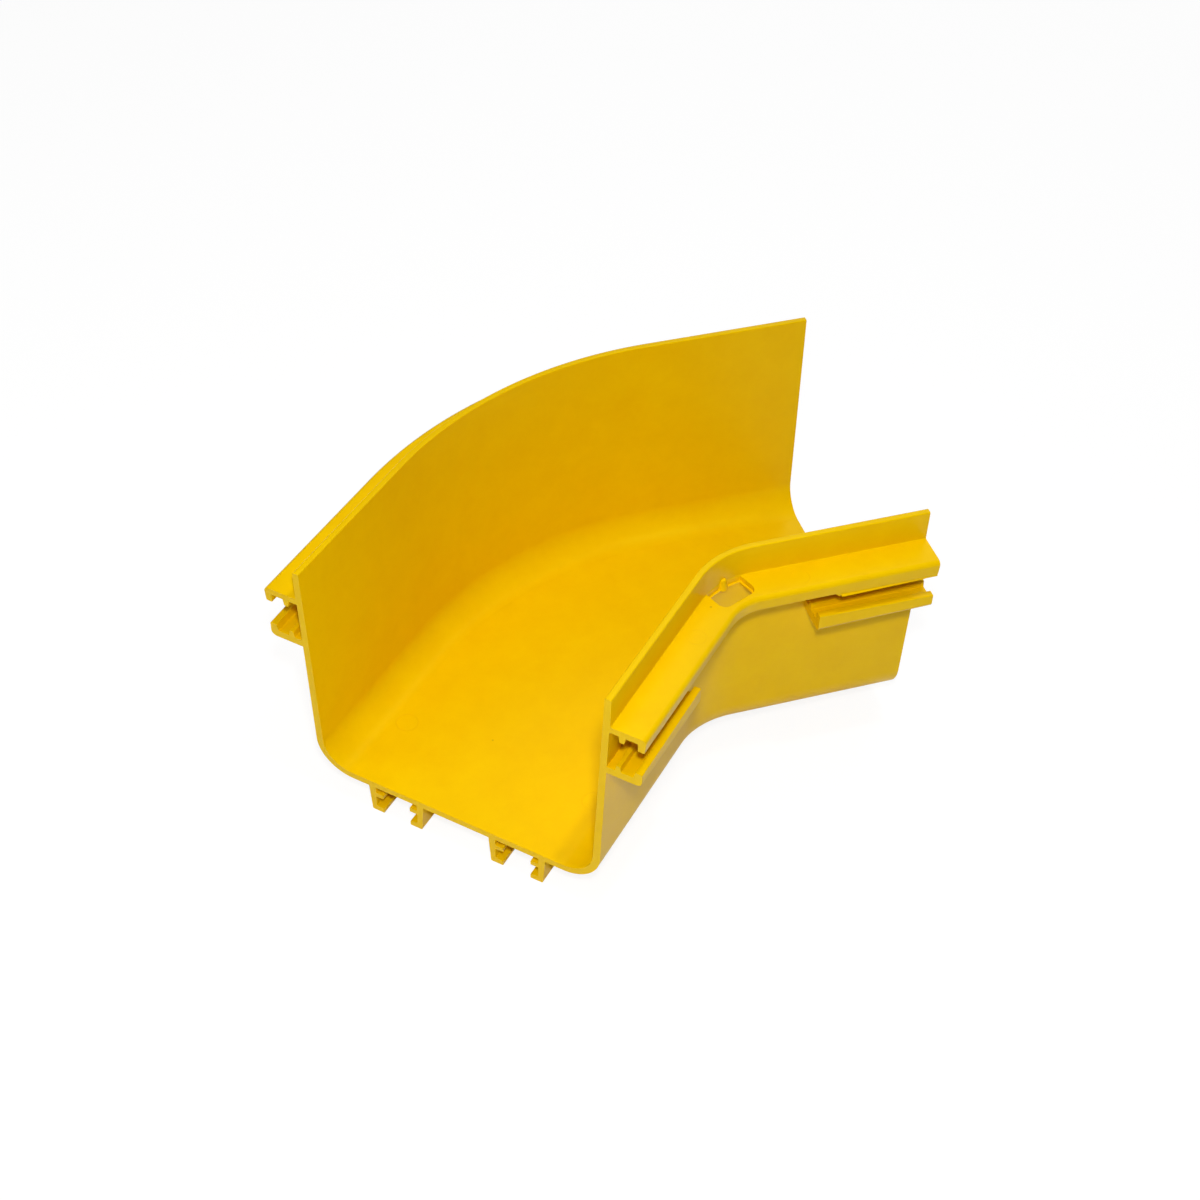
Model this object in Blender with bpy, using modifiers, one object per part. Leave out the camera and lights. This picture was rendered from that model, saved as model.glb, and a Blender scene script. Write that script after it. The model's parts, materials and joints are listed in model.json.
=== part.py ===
"""Horizontal 45 degree elbow for an open-top fibre raceway, moulded in one piece.

The channel stands on the short coupler rails under its floor. X = 0 is the mirror plane between
its two arms, +Y points to the long outer wall of the bend, and +Z is up. The origin is the middle
of the footprint, at the level that the fitting rests on. The mesh is in metres.
"""
import math

import bmesh
import bpy
from mathutils import Matrix, Vector

MM = 0.001

# Route of the channel, seen from above
BEND_ANGLE = math.radians(45.0)
BEND_RADIUS = 95.0 * MM            # centreline of the channel
STRAIGHT_LENGTH = 68.0 * MM        # from the end of the bend to the mouth

# Section of the channel
CHANNEL_WIDTH = 120.0 * MM         # inside, between the rims
WALL_HEIGHT = 98.5 * MM            # underside of the floor to the top of the rims
FLOOR_THICKNESS = 2.9 * MM
RIM_THICKNESS = 2.5 * MM           # wall above the shelf
WALL_THICKNESS = 2.6 * MM          # just below the shelf; it grows towards the floor
INSIDE_DRAFT = math.radians(1.8)   # the walls lean in going down
OUTSIDE_DRAFT = math.radians(1.5)
CORNER_RADIUS = 15.0 * MM          # outside, floor to wall
RIM_ROUND = 0.5 * MM

# Shelf along the outside of both walls, with a downturned lip
SHELF_DROP = 12.6 * MM             # top of the rim to the top of the shelf
SHELF_REACH = 13.5 * MM            # outwards from the rim
SHELF_THICKNESS = 2.8 * MM
SHELF_ROUND = 1.8 * MM             # outer top edge
LIP_DEPTH = 6.3 * MM               # top of the shelf to the bottom of the lip
LIP_ROOT = 3.1 * MM                # thickness at the shelf
LIP_TOE = 2.5 * MM                 # thickness at the bottom

# Side coupler slots at both mouths: a rib under the shelf, and a short rail below it
SLOT_LENGTH = 45.0 * MM            # from the mouth inwards
SLOT_HEIGHT = 17.3 * MM            # underside of the shelf to the floor of the rail
SHELF_RIB_OFFSET = 4.4 * MM        # rim to the middle of the rib
SHELF_RIB_HEIGHT = 2.8 * MM
SHELF_RIB_ROOT = 2.6 * MM
SHELF_RIB_TIP = 1.7 * MM
RAIL_REACH = 12.6 * MM             # outwards from the rim
RAIL_THICKNESS = 3.1 * MM
RAIL_ROUND = 2.2 * MM              # outer bottom edge
RAIL_LIP_HEIGHT = 2.7 * MM         # above the floor of the rail
RAIL_LIP_ROOT = 3.4 * MM
RAIL_LIP_TIP = 2.7 * MM
RAIL_RIB_OFFSET = 3.45 * MM        # rim to the middle of the rib
RAIL_RIB_HEIGHT = 2.6 * MM
RAIL_RIB_ROOT = 2.3 * MM
RAIL_RIB_TIP = 1.6 * MM
RAIL_GROWTH = 1.0 * MM             # above and below, from the mouth to the rail's inner end

# Coupler rails under the floor at both mouths, two facing pairs at each
FOOT_HEIGHT = 12.8 * MM            # resting plane to the underside of the floor
PAIR_SPACING = 52.1 * MM           # middle of one pair to the middle of the other
PAIR_GAP = 18.1 * MM               # between the legs of a pair
LEG_ROOT = 2.95 * MM
LEG_TOE = 1.95 * MM
FOOT_REACH = 3.25 * MM             # from the leg towards the other leg
FOOT_ROOT = 3.0 * MM
FOOT_TIP = 2.2 * MM
TAB_DROP = 2.9 * MM                # underside of the floor to the top of the tab
TAB_THICKNESS = 2.1 * MM

# Cover latch in the middle of the inner bend
WINDOW_WIDTH = 16.0 * MM
WINDOW_ROUND = 3.0 * MM            # its two front corners
WINDOW_LEDGE = 0.15 * MM           # what the window leaves of the shelf on the rim
CATCH_HEIGHT = 5.0 * MM
CATCH_FOOT_RADIUS = 2.3 * MM
CATCH_TOP_RADIUS = 0.7 * MM
CATCH_LIFT = 0.2 * MM              # foot of the catch above the underside of the shelf

# The inner wall's lip hangs lower next to the +X mouth
STEP_LENGTH = 40.0 * MM
STEP_RAMP = 1.5 * MM
STEP_DEPTH = 1.1 * MM
STEP_INSET = 0.1 * MM              # behind both faces of the lip

# How far a shape runs into the one it joins, and past the mouth before the mouth is cut
ROOT_SINK = 1.0 * MM
OVERRUN = 5.0 * MM
MERGE_DISTANCE = 0.001 * MM

# Facets
HALF_BEND_STEPS = 11
CORNER_STEPS = 8
EDGE_STEPS = 4
RIM_STEPS = 3
WINDOW_STEPS = 15                  # odd, so that no facet edge meets the mirror plane
CATCH_SIDES = 24

# Levels, and offsets from the channel's centreline
WALL_TOP = FOOT_HEIGHT + WALL_HEIGHT
FLOOR_TOP = FOOT_HEIGHT + FLOOR_THICKNESS
SHELF_TOP = WALL_TOP - SHELF_DROP
SHELF_UNDERSIDE = SHELF_TOP - SHELF_THICKNESS
LIP_BOTTOM = SHELF_TOP - LIP_DEPTH
RAIL_FLOOR = SHELF_UNDERSIDE - SLOT_HEIGHT
RAIL_UNDERSIDE = RAIL_FLOOR - RAIL_THICKNESS
RIM_INSIDE = CHANNEL_WIDTH / 2
RIM_OUTSIDE = RIM_INSIDE + RIM_THICKNESS
SHELF_EDGE = RIM_OUTSIDE + SHELF_REACH
LIP_INSIDE = SHELF_EDGE - LIP_ROOT
RAIL_EDGE = RIM_OUTSIDE + RAIL_REACH

# Plan: where the arms' centrelines meet, with the footprint centred on the origin
HALF_BEND = BEND_ANGLE / 2
ARM = Vector((math.cos(HALF_BEND), -math.sin(HALF_BEND), 0.0))
OUTWARDS = Vector((math.sin(HALF_BEND), math.cos(HALF_BEND), 0.0))
ARM_LENGTH = STRAIGHT_LENGTH + BEND_RADIUS * math.tan(HALF_BEND)
CENTRE_BEHIND = BEND_RADIUS / math.cos(HALF_BEND)
BACK = BEND_RADIUS + SHELF_EDGE - CENTRE_BEHIND
FRONT = ARM.y * ARM_LENGTH - OUTWARDS.y * SHELF_EDGE
MEETING_POINT = Vector((0.0, -(BACK + FRONT) / 2, 0.0))
BEND_CENTRE = MEETING_POINT - Vector((0.0, CENTRE_BEHIND, 0.0))


def inner_face(height):
    """Offset of the inside of a wall at a height."""
    return RIM_INSIDE - (WALL_TOP - height) * math.tan(INSIDE_DRAFT)


def outer_face(height):
    """Offset of the outside of a wall at a height below the shelf."""
    at_shelf = inner_face(SHELF_UNDERSIDE) + WALL_THICKNESS
    return at_shelf - (SHELF_UNDERSIDE - height) * math.tan(OUTSIDE_DRAFT)


def arc(centre_a, centre_b, radius, start, end, steps):
    """Points of an arc in a plane, between two angles in radians."""
    points = []
    for i in range(steps + 1):
        angle = start + (end - start) * i / steps
        points.append((centre_a + radius * math.cos(angle), centre_b + radius * math.sin(angle)))
    return points


def corner_arc(face, underside, draft, radius):
    """Round from the floor up into a leaning wall face, tangent to both."""
    centre_height = underside + radius
    centre_offset = face(centre_height) - radius / math.cos(draft)
    return arc(centre_offset, centre_height, radius, -math.pi / 2, -draft, CORNER_STEPS)


def half_section():
    """One side of the channel's section, from under the floor over the rim to the floor's top."""
    quarter = math.pi / 2
    inner_radius = CORNER_RADIUS - FLOOR_THICKNESS
    outline = corner_arc(outer_face, FOOT_HEIGHT, OUTSIDE_DRAFT, CORNER_RADIUS)
    outline += [
        (outer_face(SHELF_UNDERSIDE), SHELF_UNDERSIDE),
        (LIP_INSIDE, SHELF_UNDERSIDE),
        (LIP_INSIDE, LIP_BOTTOM),
        (LIP_INSIDE + LIP_TOE, LIP_BOTTOM),
    ]
    outline += arc(SHELF_EDGE - SHELF_ROUND, SHELF_TOP - SHELF_ROUND, SHELF_ROUND,
                   0.0, quarter, EDGE_STEPS)
    outline.append((RIM_OUTSIDE, SHELF_TOP))
    outline += arc(RIM_OUTSIDE - RIM_ROUND, WALL_TOP - RIM_ROUND, RIM_ROUND,
                   0.0, quarter, RIM_STEPS)
    outline += arc(RIM_INSIDE + RIM_ROUND, WALL_TOP - RIM_ROUND, RIM_ROUND,
                   quarter, math.pi, RIM_STEPS)
    outline += reversed(corner_arc(inner_face, FLOOR_TOP, INSIDE_DRAFT, inner_radius))
    return outline


def mirrored(outline):
    """The same outline on the other side of the channel's centreline."""
    return [(-offset, height) for offset, height in reversed(outline)]


def arm_point(along, offset, height):
    """Point on the +X arm: distance from the mouth inwards, offset from the centreline, height."""
    plan = MEETING_POINT + ARM * (ARM_LENGTH - along) + OUTWARDS * offset
    return plan + Vector((0.0, 0.0, height))


def bend_point(offset, height):
    """Point in the mirror plane."""
    return BEND_CENTRE + Vector((0.0, BEND_RADIUS + offset, height))


def only(items, kind):
    """The items of one bmesh kind."""
    return [item for item in items if isinstance(item, kind)]


def finish_object(bm, name, collection):
    """Put a bmesh in a new object."""
    bmesh.ops.recalc_face_normals(bm, faces=bm.faces)
    mesh = bpy.data.meshes.new(name)
    bm.to_mesh(mesh)
    bm.free()
    made = bpy.data.objects.new(name, mesh)
    collection.objects.link(made)
    return made


def extrude_outline(bm, points, shift):
    """Solid made by drawing a flat outline out along a vector; returns the far vertices."""
    face = bm.faces.new([bm.verts.new(point) for point in points])
    drawn = bmesh.ops.extrude_face_region(bm, geom=[face])
    far = only(drawn["geom"], bmesh.types.BMVert)
    bmesh.ops.translate(bm, vec=shift, verts=far)
    return far


def extrude_on_arm(bm, outline, start, end):
    """Solid bar on the +X arm between two distances from the mouth; returns its inner end."""
    points = [arm_point(start, offset, height) for offset, height in outline]
    return extrude_outline(bm, points, ARM * (start - end))


def add_mirror(target):
    """Repeat the +X arm on the other side of the bend."""
    mirror = target.modifiers.new("Mirror", "MIRROR")
    mirror.use_axis = (True, False, False)
    mirror.merge_threshold = MERGE_DISTANCE


def add_boolean(target, operation, operand):
    """Join another shape to the target, or cut it out."""
    step = target.modifiers.new(operand.name, "BOOLEAN")
    step.operation = operation
    step.object = operand
    step.solver = "EXACT"


def make_channel(name, collection):
    """Channel and shelves: the section turned through half the bend and drawn out to the mouth."""
    section = half_section()
    section += mirrored(section)
    bm = bmesh.new()
    ring = [bm.verts.new(bend_point(offset, height)) for offset, height in section]
    edges = [bm.edges.new((ring[i - 1], ring[i])) for i in range(len(ring))]
    turned = bmesh.ops.spin(bm, geom=ring + edges, cent=BEND_CENTRE, axis=(0.0, 0.0, 1.0),
                            angle=-HALF_BEND, steps=HALF_BEND_STEPS)
    bend_end = only(turned["geom_last"], bmesh.types.BMEdge)
    drawn = bmesh.ops.extrude_edge_only(bm, edges=bend_end)
    bmesh.ops.translate(bm, vec=ARM * (STRAIGHT_LENGTH + 2 * OVERRUN),
                        verts=only(drawn["geom"], bmesh.types.BMVert))
    bmesh.ops.contextual_create(bm, geom=only(drawn["geom"], bmesh.types.BMEdge))
    channel = finish_object(bm, name, collection)
    add_mirror(channel)
    return channel


def shelf_rib_outline():
    """Tapered rib under the shelf, sunk into it."""
    middle = RIM_OUTSIDE + SHELF_RIB_OFFSET
    tip = SHELF_UNDERSIDE - SHELF_RIB_HEIGHT
    return [
        (middle - SHELF_RIB_ROOT / 2, SHELF_UNDERSIDE + ROOT_SINK),
        (middle - SHELF_RIB_ROOT / 2, SHELF_UNDERSIDE),
        (middle - SHELF_RIB_TIP / 2, tip),
        (middle + SHELF_RIB_TIP / 2, tip),
        (middle + SHELF_RIB_ROOT / 2, SHELF_UNDERSIDE),
        (middle + SHELF_RIB_ROOT / 2, SHELF_UNDERSIDE + ROOT_SINK),
    ]


def side_rail_outline():
    """Short rail on the wall, sunk into it: floor, upturned lip and small rib."""
    root = outer_face(RAIL_UNDERSIDE) - ROOT_SINK
    rib = RIM_OUTSIDE + RAIL_RIB_OFFSET
    rib_top = RAIL_FLOOR + RAIL_RIB_HEIGHT
    lip_top = RAIL_FLOOR + RAIL_LIP_HEIGHT
    outline = [(root, RAIL_FLOOR), (root, RAIL_UNDERSIDE)]
    outline += arc(RAIL_EDGE - RAIL_ROUND, RAIL_UNDERSIDE + RAIL_ROUND, RAIL_ROUND,
                   -math.pi / 2, 0.0, EDGE_STEPS)
    outline += [
        (RAIL_EDGE, lip_top),
        (RAIL_EDGE - RAIL_LIP_TIP, lip_top),
        (RAIL_EDGE - RAIL_LIP_ROOT, RAIL_FLOOR),
        (rib + RAIL_RIB_ROOT / 2, RAIL_FLOOR),
        (rib + RAIL_RIB_TIP / 2, rib_top),
        (rib - RAIL_RIB_TIP / 2, rib_top),
        (rib - RAIL_RIB_ROOT / 2, RAIL_FLOOR),
    ]
    return outline


def grow_rail(inner_end):
    """Raise the lip and lower the underside of a rail at its inner end; its floor stays level."""
    lip_starts = RIM_OUTSIDE + RAIL_REACH - RAIL_LIP_ROOT
    for vert in inner_end:
        offset = abs((vert.co - MEETING_POINT).dot(OUTWARDS))
        if vert.co.z < RAIL_FLOOR - MERGE_DISTANCE:
            vert.co.z -= RAIL_GROWTH
        elif offset > lip_starts + MERGE_DISTANCE:
            vert.co.z += RAIL_GROWTH


def leg_outline(middle, side):
    """Leg under the floor, with its tab and foot turned towards the middle of its pair."""
    face = PAIR_GAP / 2
    tip = face - FOOT_REACH
    tab_top = FOOT_HEIGHT - TAB_DROP
    tab_underside = tab_top - TAB_THICKNESS
    profile = [
        (face, FOOT_HEIGHT + ROOT_SINK),
        (face, tab_top),
        (tip, tab_top),
        (tip, tab_underside),
        (face, tab_underside),
        (face, FOOT_ROOT),
        (tip, FOOT_TIP),
        (tip, 0.0),
        (face + LEG_TOE, 0.0),
        (face + LEG_ROOT, FOOT_HEIGHT),
        (face + LEG_ROOT, FOOT_HEIGHT + ROOT_SINK),
    ]
    return [(middle + side * offset, height) for offset, height in profile]


def make_coupler_rails(collection):
    """All the rails and ribs that a coupler slides onto, at both mouths."""
    bm = bmesh.new()
    for rib in (shelf_rib_outline(), mirrored(shelf_rib_outline())):
        extrude_on_arm(bm, rib, -OVERRUN, SLOT_LENGTH)
    for rail in (side_rail_outline(), mirrored(side_rail_outline())):
        grow_rail(extrude_on_arm(bm, rail, -OVERRUN, SLOT_LENGTH))
    for middle in (-PAIR_SPACING / 2, PAIR_SPACING / 2):
        for side in (-1, 1):
            extrude_on_arm(bm, leg_outline(middle, side), -OVERRUN, SLOT_LENGTH)
    rails = finish_object(bm, "coupler_rails", collection)
    add_mirror(rails)
    return rails


def make_lip_step(collection):
    """Deeper stretch of the inner wall's lip, with a short ramp at its inner end."""
    inside = -(LIP_INSIDE + STEP_INSET)
    bottom = LIP_BOTTOM - STEP_DEPTH
    top = LIP_BOTTOM + ROOT_SINK
    side = [
        (-OVERRUN, top),
        (-OVERRUN, bottom),
        (STEP_LENGTH, bottom),
        (STEP_LENGTH + STEP_RAMP, LIP_BOTTOM),
        (STEP_LENGTH + STEP_RAMP, top),
    ]
    bm = bmesh.new()
    points = [arm_point(along, inside, height) for along, height in side]
    extrude_outline(bm, points, OUTWARDS * -(LIP_TOE - 2 * STEP_INSET))
    return finish_object(bm, "lip_step", collection)


def make_window(collection):
    """Cutter for the window through the shelf, from the rim to the inside of the lip."""
    half = WINDOW_WIDTH / 2
    rim_radius = BEND_RADIUS - RIM_OUTSIDE - WINDOW_LEDGE
    front = BEND_RADIUS - LIP_INSIDE + WINDOW_ROUND
    reach = math.asin(half / rim_radius)
    plan = arc(0.0, 0.0, rim_radius, math.pi / 2 - reach, math.pi / 2 + reach, WINDOW_STEPS)
    plan += arc(-half + WINDOW_ROUND, front, WINDOW_ROUND, math.pi, 1.5 * math.pi, EDGE_STEPS)
    plan += arc(half - WINDOW_ROUND, front, WINDOW_ROUND, 1.5 * math.pi, 2 * math.pi, EDGE_STEPS)
    bottom = SHELF_UNDERSIDE - ROOT_SINK
    bm = bmesh.new()
    points = [BEND_CENTRE + Vector((x, y, bottom)) for x, y in plan]
    extrude_outline(bm, points, Vector((0.0, 0.0, SHELF_THICKNESS + 2 * ROOT_SINK)))
    return finish_object(bm, "latch_window", collection)


def make_catch(collection):
    """Half cone on the rim behind the window; the cover's clip snaps under its flat foot."""
    middle = SHELF_UNDERSIDE + CATCH_LIFT + CATCH_HEIGHT / 2
    turn = Matrix.Rotation(math.pi / CATCH_SIDES, 4, "Z")
    bm = bmesh.new()
    bmesh.ops.create_cone(bm, cap_ends=True, segments=CATCH_SIDES, radius1=CATCH_FOOT_RADIUS,
                          radius2=CATCH_TOP_RADIUS, depth=CATCH_HEIGHT,
                          matrix=Matrix.Translation(bend_point(-RIM_OUTSIDE, middle)) @ turn)
    return finish_object(bm, "cover_catch", collection)


def make_mouth_cut(collection):
    """Cutter that squares off everything at both mouths."""
    width = SHELF_EDGE + OVERRUN
    outline = [(-width, -OVERRUN), (width, -OVERRUN), (width, WALL_TOP + OVERRUN),
               (-width, WALL_TOP + OVERRUN)]
    bm = bmesh.new()
    extrude_on_arm(bm, outline, -3 * OVERRUN, 0.0)
    cutter = finish_object(bm, "mouth_cut", collection)
    add_mirror(cutter)
    return cutter


def yellow_plastic():
    """Glossy yellow plastic."""
    material = bpy.data.materials.new("yellow_plastic")
    material.use_nodes = True
    shader = material.node_tree.nodes["Principled BSDF"]
    shader.inputs["Base Color"].default_value = (0.93, 0.60, 0.01, 1.0)
    shader.inputs["Roughness"].default_value = 0.35
    return material


def new_collection(name):
    """Collection linked to the scene."""
    collection = bpy.data.collections.new(name)
    bpy.context.scene.collection.children.link(collection)
    return collection


def main():
    """Build the fitting."""
    for old in list(bpy.data.objects):
        bpy.data.objects.remove(old, do_unlink=True)
    fitting = new_collection("fibre_raceway_elbow")
    operands = new_collection("joined_and_cut_shapes")

    elbow = make_channel("raceway_elbow", fitting)
    add_boolean(elbow, "DIFFERENCE", make_window(operands))
    add_boolean(elbow, "UNION", make_coupler_rails(operands))
    add_boolean(elbow, "UNION", make_lip_step(operands))
    add_boolean(elbow, "DIFFERENCE", make_mouth_cut(operands))
    add_boolean(elbow, "UNION", make_catch(operands))
    elbow.data.materials.append(yellow_plastic())

    for operand in operands.objects:
        operand.hide_render = True
        operand.display_type = "WIRE"


main()
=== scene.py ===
# %% [markdown]
# # A yellow raceway elbow
#
# The object is one moulding of yellow plastic: an open-top channel for fibre cables that turns
# 45 degrees. Along the outside of both walls runs a shelf with a downturned lip, which carries the
# cover. At both mouths there are short rails, beside the walls and under the floor, that a coupler
# slides onto. Everything is lengths of a drawn section, so this lesson draws sections first and
# then lets Geometry Nodes carry them along a path.

import json
import math

import bmesh
import bpy
from mathutils import Matrix, Vector

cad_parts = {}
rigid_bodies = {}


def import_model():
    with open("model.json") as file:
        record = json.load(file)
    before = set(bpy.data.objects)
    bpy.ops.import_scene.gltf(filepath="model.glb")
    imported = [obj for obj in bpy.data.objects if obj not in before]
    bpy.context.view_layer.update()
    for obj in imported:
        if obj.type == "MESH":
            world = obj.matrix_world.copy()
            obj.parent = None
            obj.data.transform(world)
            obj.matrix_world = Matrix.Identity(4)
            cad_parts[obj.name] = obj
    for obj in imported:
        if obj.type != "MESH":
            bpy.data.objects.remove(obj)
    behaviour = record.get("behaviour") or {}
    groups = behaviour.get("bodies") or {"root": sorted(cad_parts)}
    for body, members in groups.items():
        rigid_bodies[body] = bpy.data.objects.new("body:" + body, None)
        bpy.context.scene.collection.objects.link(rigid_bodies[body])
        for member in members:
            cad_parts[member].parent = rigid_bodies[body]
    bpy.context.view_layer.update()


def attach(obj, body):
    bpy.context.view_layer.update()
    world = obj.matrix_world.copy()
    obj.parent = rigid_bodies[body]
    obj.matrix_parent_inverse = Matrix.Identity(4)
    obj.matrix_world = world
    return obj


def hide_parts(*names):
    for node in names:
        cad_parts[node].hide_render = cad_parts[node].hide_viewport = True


for leftover in list(bpy.data.objects):
    bpy.data.objects.remove(leftover, do_unlink=True)
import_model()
MM = 0.001

# %% [markdown]
# ## Sizes
#
# The sizes are those of the measured model. A moulded section has a little slope on every face, so
# that it leaves the mould, and small rounds on its edges. The slopes and rounds are what catches
# the light later, so they are drawn from the start.

# %% Sizes
BEND_ANGLE = math.radians(45.0)
HALF_BEND = BEND_ANGLE / 2
BEND_RADIUS = 95.0 * MM
STRAIGHT_LENGTH = 68.0 * MM
SLOT_LENGTH = 45.0 * MM
OVERRUN = 5.0 * MM

FLOOR_UNDERSIDE = 12.8 * MM
FLOOR_TOP = 15.7 * MM
WALL_TOP = 111.3 * MM
SHELF_TOP = 98.7 * MM
SHELF_UNDERSIDE = 95.9 * MM
LIP_BOTTOM = 92.4 * MM
RAIL_FLOOR = 78.6 * MM
RAIL_UNDERSIDE = 75.5 * MM

RIM_INSIDE = 60.0 * MM
RIM_OUTSIDE = 62.5 * MM
SHELF_EDGE = 76.0 * MM
LIP_INSIDE = 72.9 * MM
LIP_TOE = 2.5 * MM
RAIL_EDGE = 75.1 * MM
CUT_EDGE_BEVEL = 0.08 * MM
WELD_DISTANCE = 0.002 * MM

ARM = Vector((math.cos(HALF_BEND), -math.sin(HALF_BEND), 0.0))
OUTWARDS = Vector((math.sin(HALF_BEND), math.cos(HALF_BEND), 0.0))
ARM_LENGTH = STRAIGHT_LENGTH + BEND_RADIUS * math.tan(HALF_BEND)
CENTRE_BEHIND = BEND_RADIUS / math.cos(HALF_BEND)
BACK = BEND_RADIUS + SHELF_EDGE - CENTRE_BEHIND
FRONT = ARM.y * ARM_LENGTH - OUTWARDS.y * SHELF_EDGE
MEETING_Y = -(BACK + FRONT) / 2
BEND_CENTRE = Vector((0.0, MEETING_Y - CENTRE_BEHIND, 0.0))


def inner_face(height):
    """Inside of a wall: it leans in by 1.8 degrees going down."""
    return RIM_INSIDE - (WALL_TOP - height) * math.tan(math.radians(1.8))


def outer_face(height):
    """Outside of a wall below the shelf: it leans in by 1.5 degrees going down."""
    at_shelf = inner_face(SHELF_UNDERSIDE) + 2.6 * MM
    return at_shelf - (SHELF_UNDERSIDE - height) * math.tan(math.radians(1.5))


def arm_point(along, offset, height):
    """Point on the right arm: distance in from the mouth, offset from the middle, height."""
    middle = ARM * (ARM_LENGTH - along) + OUTWARDS * offset
    return middle + Vector((0.0, MEETING_Y, height))


print("arm length, mm:", round(ARM_LENGTH / MM, 2))

# %% [markdown]
# ## Drawing sections
#
# A section is a list of corners, each with the radius of its round. One helper replaces every
# corner by an arc. Drawing the rounds here, and not with a bevel afterwards, gives each edge its
# own radius: 15 mm where the floor meets a wall, 1.8 mm on the shelf, 0.3 mm on a rib.


# %% A polygon with rounded corners
def rounded(corners, steps_small=3, steps_large=16):
    """Outline with an arc at each corner; corners are (offset, height, radius)."""
    outline = []
    for i, (x, y, radius) in enumerate(corners):
        here = Vector((x, y))
        before = (Vector(corners[i - 1][:2]) - here).normalized()
        after = (Vector(corners[(i + 1) % len(corners)][:2]) - here).normalized()
        half = before.angle(after) / 2
        if radius <= 0.0 or half > math.radians(89.0):
            outline.append((x, y))
            continue
        centre = here + (before + after).normalized() * (radius / math.sin(half))
        start = here + before * (radius / math.tan(half)) - centre
        end = here + after * (radius / math.tan(half)) - centre
        turn = math.atan2(start.x * end.y - start.y * end.x, start.dot(end))
        steps = steps_large if radius > 5.0 * MM else steps_small + int(radius / MM)
        for k in range(steps + 1):
            spoke = Matrix.Rotation(turn * k / steps, 2) @ start
            outline.append((centre.x + spoke.x, centre.y + spoke.y))
    return outline


def mirrored(corners):
    """The same corners on the other side of the channel."""
    return [(-corner[0], *corner[1:]) for corner in reversed(corners)]


def section_curve(name, outlines):
    """Curve object with one closed line for each outline, ready to be swept."""
    curve = bpy.data.curves.new(name, "CURVE")
    curve.dimensions = "3D"
    for outline in outlines:
        spline = curve.splines.new("POLY")
        spline.points.add(len(outline) - 1)
        for point, (offset, height) in zip(spline.points, outline):
            point.co = (-offset, -height, 0.0, 1.0)
        spline.use_cyclic_u = True
    made = bpy.data.objects.new(name, curve)
    bpy.context.scene.collection.objects.link(made)
    return made


# %% The channel's section
half_channel = [
    (outer_face(FLOOR_UNDERSIDE), FLOOR_UNDERSIDE, 15.0 * MM),
    (outer_face(SHELF_UNDERSIDE), SHELF_UNDERSIDE, 0.5 * MM),
    (LIP_INSIDE, SHELF_UNDERSIDE, 0.5 * MM),
    (LIP_INSIDE, LIP_BOTTOM, 0.3 * MM),
    (LIP_INSIDE + LIP_TOE, LIP_BOTTOM, 0.5 * MM),
    (SHELF_EDGE + 0.05 * MM, SHELF_TOP, 1.8 * MM),
    (RIM_OUTSIDE, SHELF_TOP, 0.5 * MM),
    (RIM_OUTSIDE, WALL_TOP, 0.5 * MM),
    (RIM_INSIDE, WALL_TOP, 0.5 * MM),
    (inner_face(FLOOR_TOP), FLOOR_TOP, 12.1 * MM),
]
channel_outline = rounded(half_channel + mirrored(half_channel))
channel_section = section_curve("channel_section", [channel_outline])
print("channel section:", len(channel_outline), "points")

# %% [markdown]
# ## The route of the channel
#
# Seen from above, the channel's middle line is two straight arms with a rounded corner between
# them. Geometry Nodes draws just that: a line of three points, whose middle point gets a fillet
# with the bend radius. The section is then swept along it. Changing the bend angle or radius in
# the tree's inputs gives the other elbows of the same family.


# %% Small helpers for node trees
def new_tree(name, inputs):
    """Geometry node tree with named inputs, each given as (name, socket type)."""
    tree = bpy.data.node_groups.new(name, "GeometryNodeTree")
    tree.interface.new_socket("Geometry", in_out="OUTPUT", socket_type="NodeSocketGeometry")
    tree.interface.new_socket("Geometry", in_out="INPUT", socket_type="NodeSocketGeometry")
    for label, kind in inputs:
        tree.interface.new_socket(label, in_out="INPUT", socket_type=kind)
    return tree, tree.nodes.new("NodeGroupInput"), tree.nodes.new("NodeGroupOutput")


def add(tree, kind, links=None, **settings):
    """Node with its settings, and its inputs linked to sockets or set to values."""
    node = tree.nodes.new(kind)
    for key, value in settings.items():
        setattr(node, key, value)
    for key, value in (links or {}).items():
        if isinstance(value, bpy.types.NodeSocket):
            tree.links.new(value, node.inputs[key])
        else:
            node.inputs[key].default_value = value
    return node


def math_node(tree, operation, a, b=0.0):
    """Result of a one-line sum."""
    return add(tree, "ShaderNodeMath", {0: a, 1: b}, operation=operation).outputs[0]


def run_tree(tree, name, values):
    """Run a tree on an empty mesh and return the result as a plain mesh object."""
    carrier = bpy.data.objects.new(name, bpy.data.meshes.new(name))
    bpy.context.scene.collection.objects.link(carrier)
    modifier = carrier.modifiers.new("nodes", "NODES")
    modifier.node_group = tree
    for item in tree.interface.items_tree:
        if item.in_out == "INPUT" and item.name in values:
            modifier[item.identifier] = values[item.name]
    evaluated = carrier.evaluated_get(bpy.context.evaluated_depsgraph_get())
    mesh = bpy.data.meshes.new_from_object(evaluated)
    carrier.modifiers.remove(modifier)
    carrier.data = mesh
    print(name, "has", len(mesh.polygons), "faces")
    return carrier


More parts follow.
